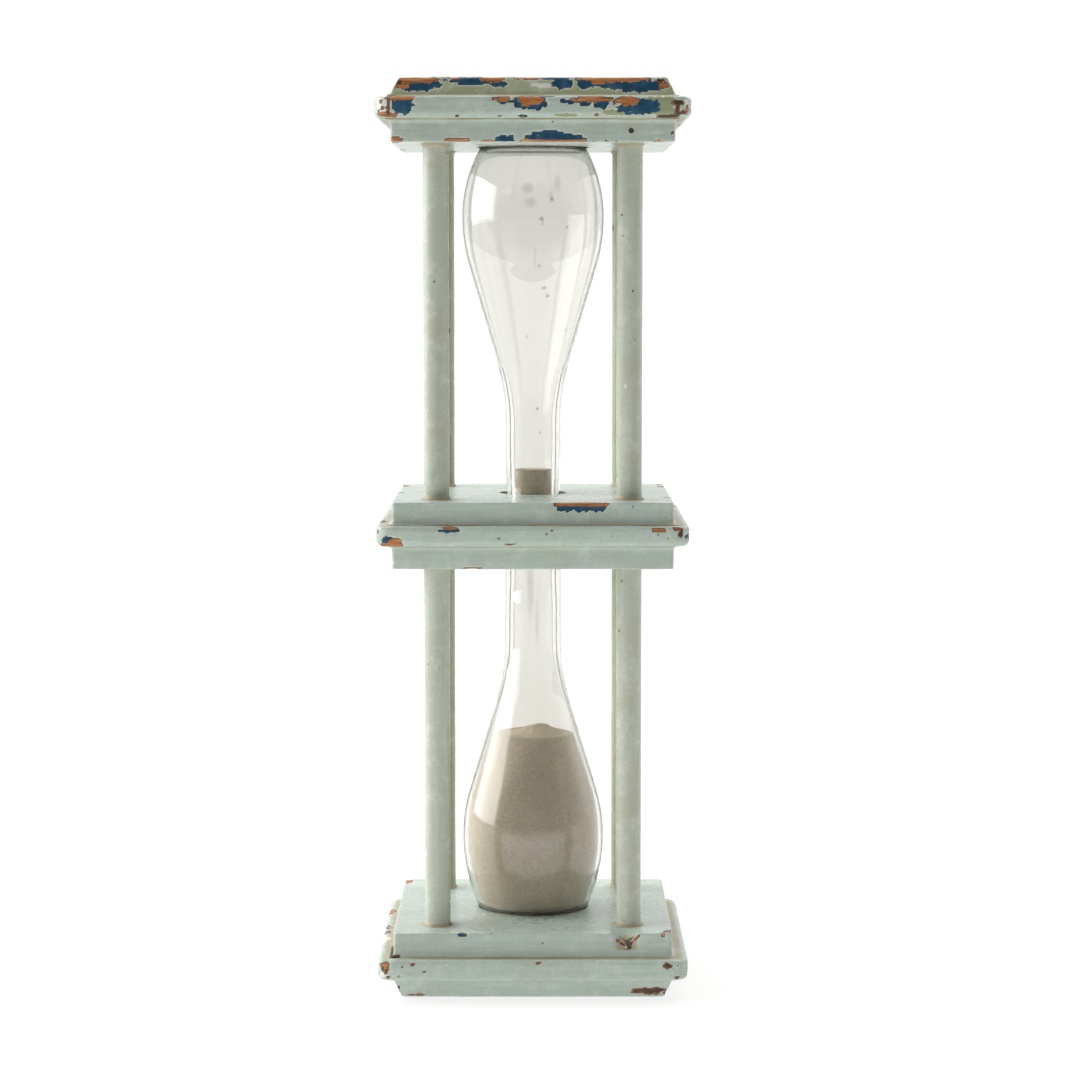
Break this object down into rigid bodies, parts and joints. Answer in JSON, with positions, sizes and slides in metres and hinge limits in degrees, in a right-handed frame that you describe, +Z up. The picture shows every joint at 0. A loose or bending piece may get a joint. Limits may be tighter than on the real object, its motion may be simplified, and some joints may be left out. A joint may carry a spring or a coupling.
{
  "type": "hourglass",
  "caption": "Hourglass with two long-necked clear glass bulbs in a painted square board and post frame, sand in the upper neck and the lower bulb.",
  "frame": {"origin": "middle of the foot's underside, on the surface it stands on", "axes": "+Z up through both bulbs, +X to the right and -Y to the front, square to the boards"},
  "size_m": [0.113, 0.113, 0.333],
  "materials": {
    "sage_paint": "satin",
    "post_paint": "satin",
    "clear_glass": "gloss",
    "sand": "matte",
    "brad_steel": "satin",
    "orifice_brass": "satin",
    "sealing_wax": "satin",
    "waxed_cord": "matte",
    "seat_felt": "matte"
  },
  "bodies": {
    "root": {"top_cap_board": "sage_paint", "top_wide_board": "sage_paint", "top_seat_board": "sage_paint", "middle_upper_board": "sage_paint", "middle_wide_board": "sage_paint", "middle_lower_board": "sage_paint", "base_seat_board": "sage_paint", "base_wide_board": "sage_paint", "base_foot_board": "sage_paint", "front_left_post": "post_paint", "front_right_post": "post_paint", "back_left_post": "post_paint", "back_right_post": "post_paint", "top_brads": "brad_steel", "base_brads": "brad_steel", "upper_bulb": "clear_glass", "lower_bulb": "clear_glass", "orifice_disc": "orifice_brass", "neck_wax_seal": "sealing_wax", "neck_binding": "waxed_cord", "upper_seat_pad": "seat_felt", "lower_seat_pad": "seat_felt", "upper_sand_column": "sand", "lower_sand_heap": "sand"},
    "upper_sand_top": {"upper_sand_surface": "sand"},
    "lower_sand_top": {"lower_sand_crown": "sand"}
  },
  "joints": [
    {"name": "upper_sand_level", "type": "slide", "parent": "root", "child": "upper_sand_top", "axis": [0, 0, -1], "range_m": [0, 0.0183], "deforming": ["upper_sand_column"]},
    {"name": "lower_sand_level", "type": "slide", "parent": "root", "child": "lower_sand_top", "axis": [0, 0, 1], "range_m": [0, 0.0035], "deforming": ["lower_sand_heap"]}
  ],
  "couplings": [
    {"joint": "lower_sand_level", "follows": "upper_sand_level", "ratio": 0.19}
  ]
}
